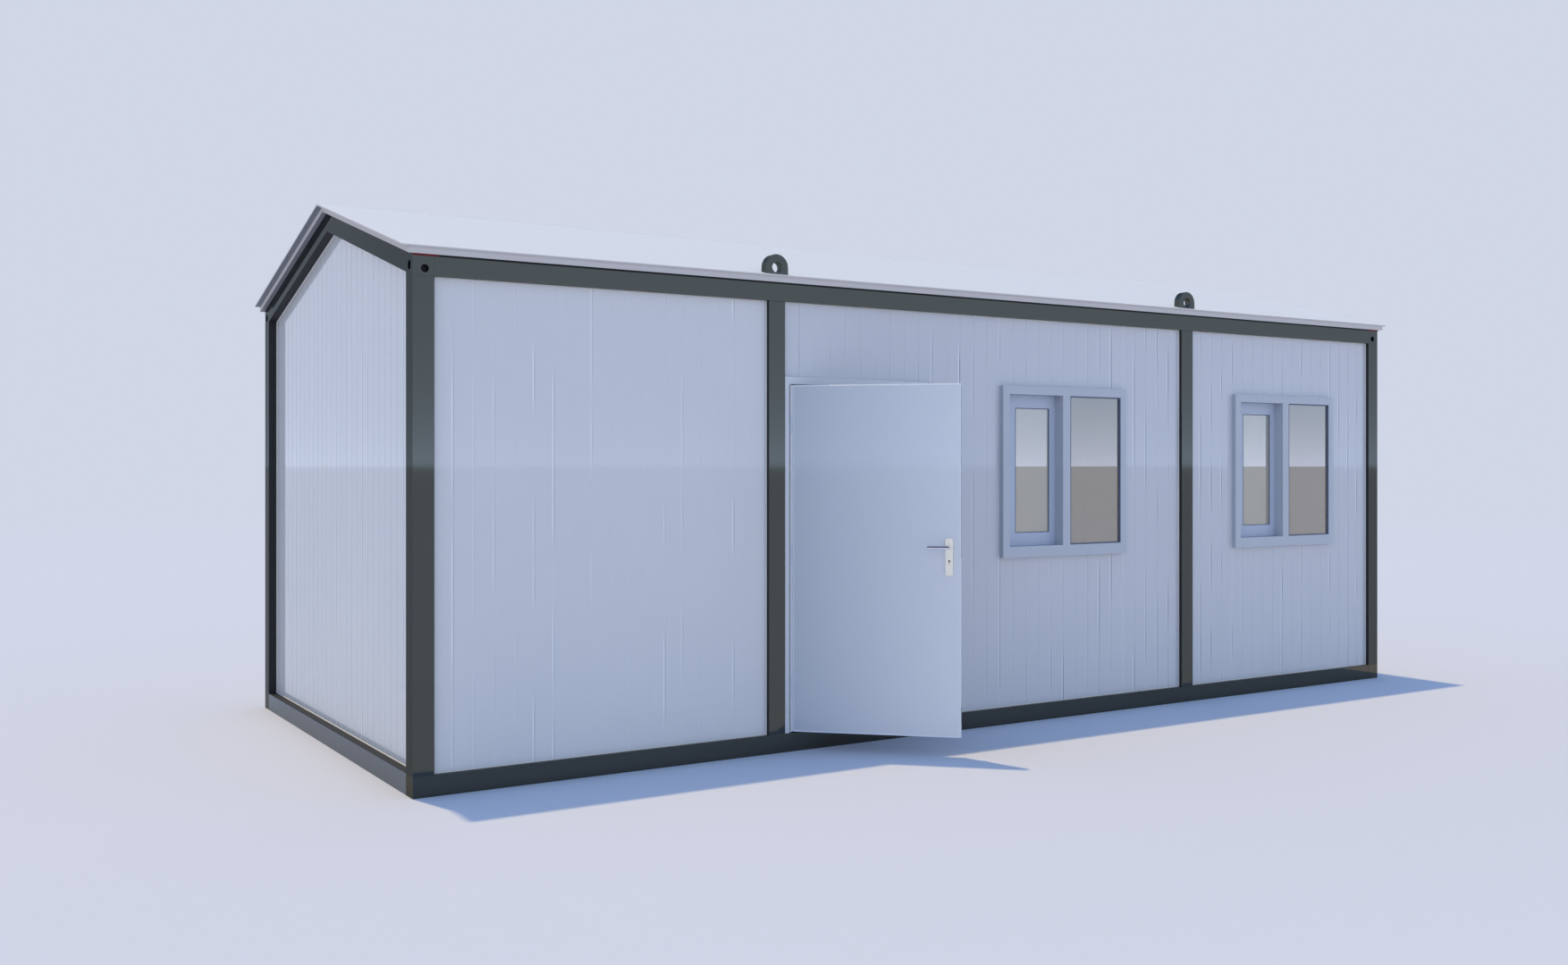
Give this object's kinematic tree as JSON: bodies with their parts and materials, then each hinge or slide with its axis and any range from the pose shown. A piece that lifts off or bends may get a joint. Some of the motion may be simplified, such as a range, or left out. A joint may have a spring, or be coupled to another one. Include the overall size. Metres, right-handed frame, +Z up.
{
  "type": "portable site cabin",
  "caption": "Long single-room site cabin: dark steel frame, pale ribbed panels, shallow gable roof with lifting lugs, outward door and part-sliding windows.",
  "frame": {"origin": "on the ground under the middle of the floor, on the underside of the middle floor joist", "axes": "+X along the length to the right of the front wall, +Y from the front wall to the rear, +Z up"},
  "size_m": [7.11, 3.6671, 2.9433],
  "materials": {
    "frame_paint": "anthracite gloss paint",
    "wall_skin": "pale grey coated steel, ribbed",
    "roof_edge": "light grey coated edge",
    "roof_skin": "off-white coated sheet",
    "floor_board": "sealed floor board",
    "door_paint": "pale satin paint",
    "window_profile": "pale extruded profile",
    "window_glass": "clear",
    "hinge_steel": "zinc plated",
    "lock_plate": "satin anodised",
    "lever_metal": "bright"
  },
  "bodies": {
    "cabin": {"long_sills": "frame_paint", "end_sills": "frame_paint", "corner_posts": "frame_paint", "middle_posts": "frame_paint", "corner_blocks": "frame_paint", "eave_rails": "frame_paint", "ridge_beam": "frame_paint", "front_rafters": "frame_paint", "rear_rafters": "frame_paint", "lifting_lugs": "frame_paint", "floor_joists": "frame_paint", "front_wall_left": "wall_skin", "front_wall_over_door": "wall_skin", "front_wall_piers": "wall_skin", "front_wall_under_windows": "wall_skin", "front_wall_over_windows": "wall_skin", "rear_wall": "wall_skin", "gable_wall_left": "wall_skin", "gable_wall_right": "wall_skin", "front_roof_panel": "roof_edge", "rear_roof_panel": "roof_edge", "front_roof_sheet": "roof_skin", "rear_roof_sheet": "roof_skin", "floor_deck": "floor_board", "door_frame": "door_paint", "jamb_hinges": "hinge_steel", "middle_window_casing": "window_profile", "middle_window_sash": "window_profile", "middle_window_sash_pane": "window_glass", "middle_window_fixed_pane": "window_glass", "right_window_casing": "window_profile", "right_window_sash": "window_profile", "right_window_sash_pane": "window_glass", "right_window_fixed_pane": "window_glass"},
    "door": {"door_leaf": "door_paint", "leaf_hinges": "hinge_steel", "lock_plates": "lock_plate"},
    "lever": {"lever_handles": "lever_metal"}
  },
  "joints": [
    {"name": "door_swing", "type": "hinge", "parent": "cabin", "child": "door", "pos_m": [-1.4665, -1.507, 0], "axis": [0, 0, -1], "range_deg": [-45, 60]},
    {"name": "lever_turn", "type": "hinge", "parent": "door", "child": "lever", "pos_m": [-0.87006, -2.10344, 1.098], "axis": [-0.7071, -0.7071, 0], "range_deg": [0, 40], "stiffness_Nm_per_rad": 1.5, "springref_deg": -20.05}
  ]
}
